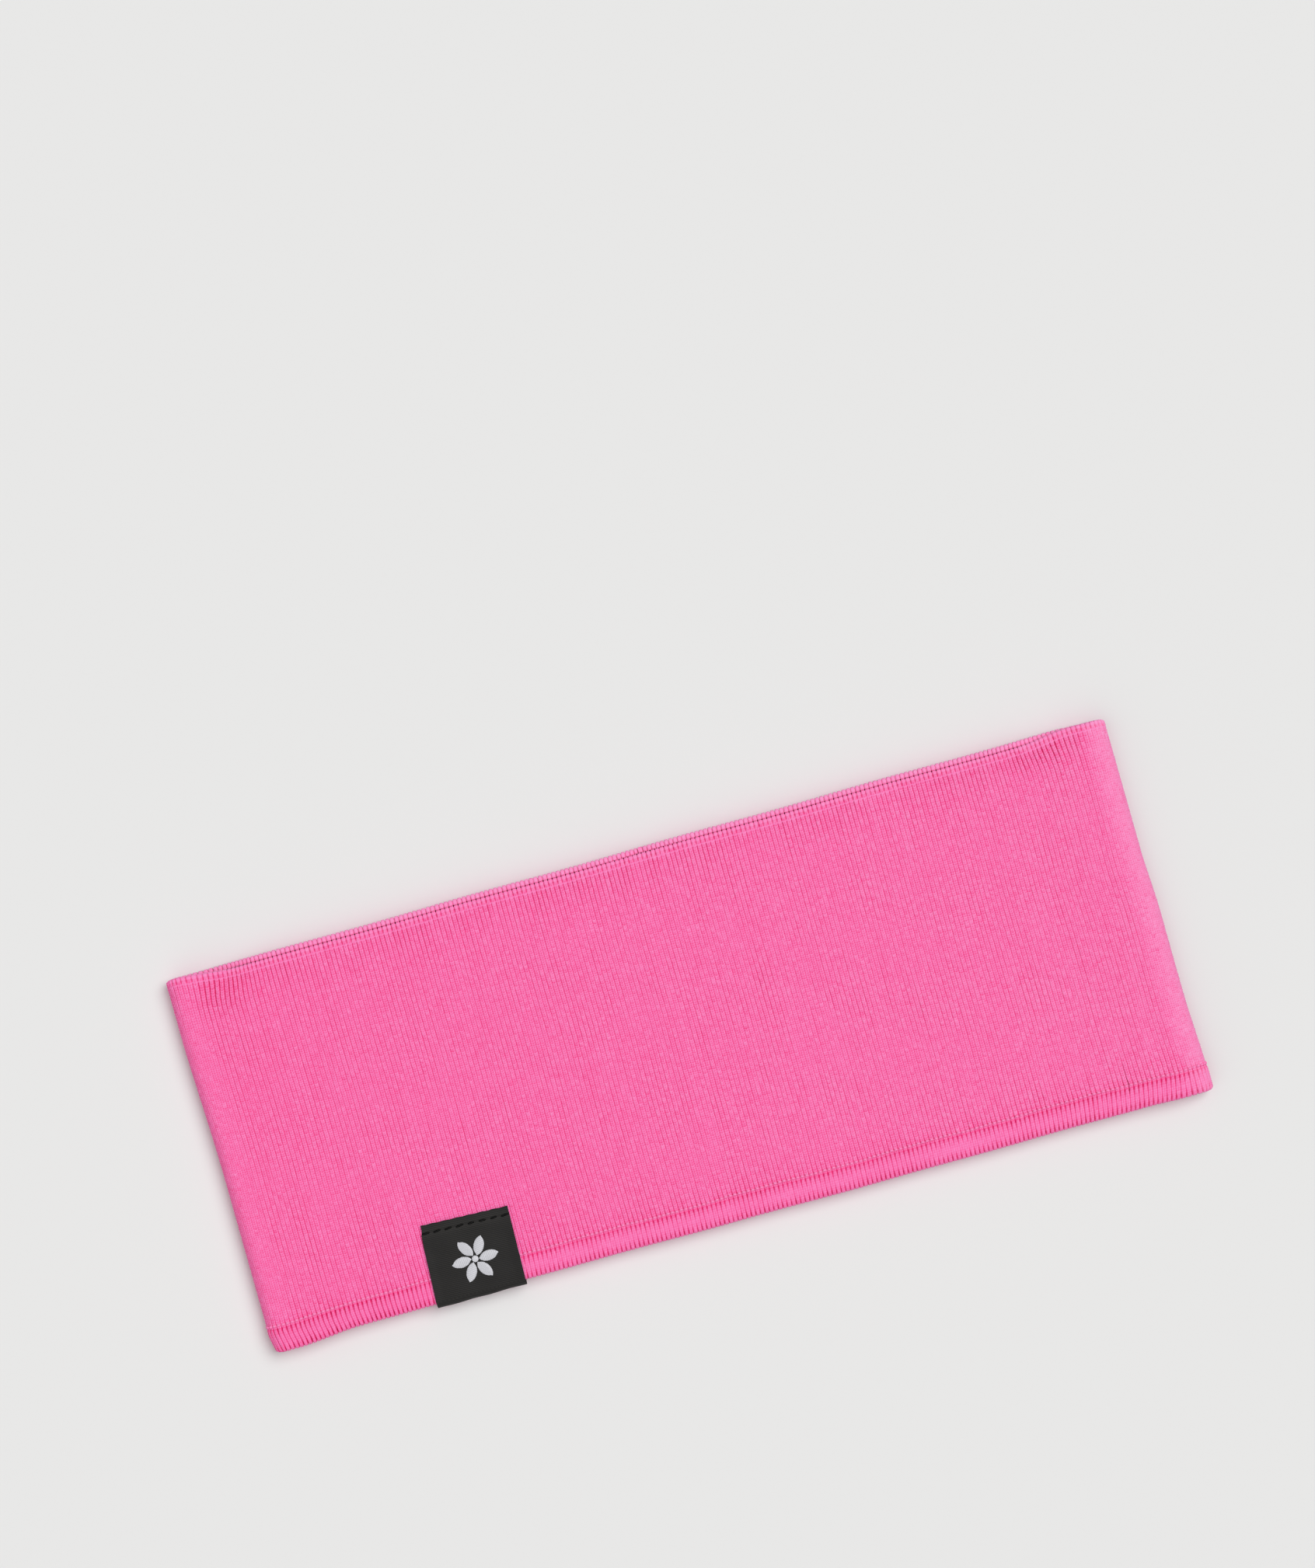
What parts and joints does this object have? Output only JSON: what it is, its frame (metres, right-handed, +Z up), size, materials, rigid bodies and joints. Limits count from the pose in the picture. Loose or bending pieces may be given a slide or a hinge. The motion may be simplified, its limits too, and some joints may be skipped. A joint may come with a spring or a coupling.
{
  "type": "sports headband",
  "caption": "Wide double-layer knitted sports headband lying flat, with a turned hem, side folds and a folded woven label; opens from flat into a ring.",
  "frame": {"origin": "middle of the resting face, under the centre of the flat band's bounding box", "axes": "+X along the flat width from the left fold to the right fold, +Y from the hem to the top edge, +Z up, out of the front panel"},
  "size_m": [0.24, 0.0958, 0.0073],
  "materials": {
    "pink_knit": "fine-gauge jersey knit, matt",
    "pink_lining": "brushed jersey knit, matt",
    "pink_thread": "spun sewing thread, matt",
    "black_label": "twill-woven label tape, satin",
    "black_thread": "polyester sewing thread, slight sheen",
    "silver_thread": "satin-stitch embroidery thread, soft sheen"
  },
  "bodies": {
    "back_1": {"outer_knit_back_1": "pink_knit", "lining_back_1": "pink_lining", "linking_thread_back_1": "pink_thread", "outer_knit_left_fold": "pink_knit", "lining_left_fold": "pink_lining"},
    "back_2": {"outer_knit_back_2": "pink_knit", "lining_back_2": "pink_lining", "linking_thread_back_2": "pink_thread"},
    "back_3": {"outer_knit_back_3": "pink_knit", "lining_back_3": "pink_lining", "linking_thread_back_3": "pink_thread", "back_seam_thread": "pink_thread"},
    "back_4": {"outer_knit_back_4": "pink_knit", "lining_back_4": "pink_lining", "linking_thread_back_4": "pink_thread"},
    "back_5": {"outer_knit_back_5": "pink_knit", "lining_back_5": "pink_lining", "linking_thread_back_5": "pink_thread"},
    "back_6": {"outer_knit_back_6": "pink_knit", "lining_back_6": "pink_lining", "linking_thread_back_6": "pink_thread", "outer_knit_right_fold": "pink_knit", "lining_right_fold": "pink_lining"},
    "front_1": {"outer_knit_front_1": "pink_knit", "lining_front_1": "pink_lining", "linking_thread_front_1": "pink_thread"},
    "front_2": {"outer_knit_front_2": "pink_knit", "lining_front_2": "pink_lining", "linking_thread_front_2": "pink_thread", "woven_label": "black_label", "label_stitching": "black_thread", "label_emblem": "silver_thread"},
    "front_3": {"outer_knit_front_3": "pink_knit", "lining_front_3": "pink_lining", "linking_thread_front_3": "pink_thread"},
    "front_4": {"outer_knit_front_4": "pink_knit", "lining_front_4": "pink_lining", "linking_thread_front_4": "pink_thread"},
    "front_5": {"outer_knit_front_5": "pink_knit", "lining_front_5": "pink_lining", "linking_thread_front_5": "pink_thread"},
    "front_6": {"outer_knit_front_6": "pink_knit", "lining_front_6": "pink_lining", "linking_thread_front_6": "pink_thread"}
  },
  "joints": [
    {"name": "back_2_hinge", "type": "hinge", "parent": "back_3", "child": "back_2", "pos_m": [-0.04, 0, 0.0024], "axis": [0, 1, 0], "range_deg": [0, 30]},
    {"name": "back_1_hinge", "type": "hinge", "parent": "back_2", "child": "back_1", "pos_m": [-0.08, 0, 0.0024], "axis": [0, 1, 0], "range_deg": [0, 30]},
    {"name": "front_1_hinge", "type": "hinge", "parent": "back_1", "child": "front_1", "pos_m": [-0.11705, 0, 0.00295], "axis": [0, 1, 0], "range_deg": [-150, 0]},
    {"name": "front_2_hinge", "type": "hinge", "parent": "front_1", "child": "front_2", "pos_m": [-0.08, 0, 0.0035], "axis": [0, 1, 0], "range_deg": [0, 30]},
    {"name": "front_3_hinge", "type": "hinge", "parent": "front_2", "child": "front_3", "pos_m": [-0.04, 0, 0.0035], "axis": [0, 1, 0], "range_deg": [0, 30]},
    {"name": "front_4_hinge", "type": "hinge", "parent": "front_3", "child": "front_4", "pos_m": [0, 0, 0.0035], "axis": [0, 1, 0], "range_deg": [0, 30]},
    {"name": "front_5_hinge", "type": "hinge", "parent": "front_4", "child": "front_5", "pos_m": [0.04, 0, 0.0035], "axis": [0, 1, 0], "range_deg": [0, 30]},
    {"name": "front_6_hinge", "type": "hinge", "parent": "front_5", "child": "front_6", "pos_m": [0.08, 0, 0.0035], "axis": [0, 1, 0], "range_deg": [0, 30]},
    {"name": "back_6_hinge", "type": "hinge", "parent": "front_6", "child": "back_6", "pos_m": [0.11705, 0, 0.00295], "axis": [0, 1, 0], "range_deg": [-150, 0]},
    {"name": "back_5_hinge", "type": "hinge", "parent": "back_6", "child": "back_5", "pos_m": [0.08, 0, 0.0024], "axis": [0, 1, 0], "range_deg": [0, 30]},
    {"name": "back_4_hinge", "type": "hinge", "parent": "back_5", "child": "back_4", "pos_m": [0.04, 0, 0.0024], "axis": [0, 1, 0], "range_deg": [0, 30]}
  ],
  "couplings": [
    {"joint": "back_1_hinge", "follows": "back_2_hinge", "ratio": 1},
    {"joint": "front_1_hinge", "follows": "back_2_hinge", "ratio": -5},
    {"joint": "front_2_hinge", "follows": "back_2_hinge", "ratio": 1},
    {"joint": "front_3_hinge", "follows": "back_2_hinge", "ratio": 1},
    {"joint": "front_4_hinge", "follows": "back_2_hinge", "ratio": 1},
    {"joint": "front_5_hinge", "follows": "back_2_hinge", "ratio": 1},
    {"joint": "front_6_hinge", "follows": "back_2_hinge", "ratio": 1},
    {"joint": "back_6_hinge", "follows": "back_2_hinge", "ratio": -5},
    {"joint": "back_5_hinge", "follows": "back_2_hinge", "ratio": 1},
    {"joint": "back_4_hinge", "follows": "back_2_hinge", "ratio": 1}
  ]
}
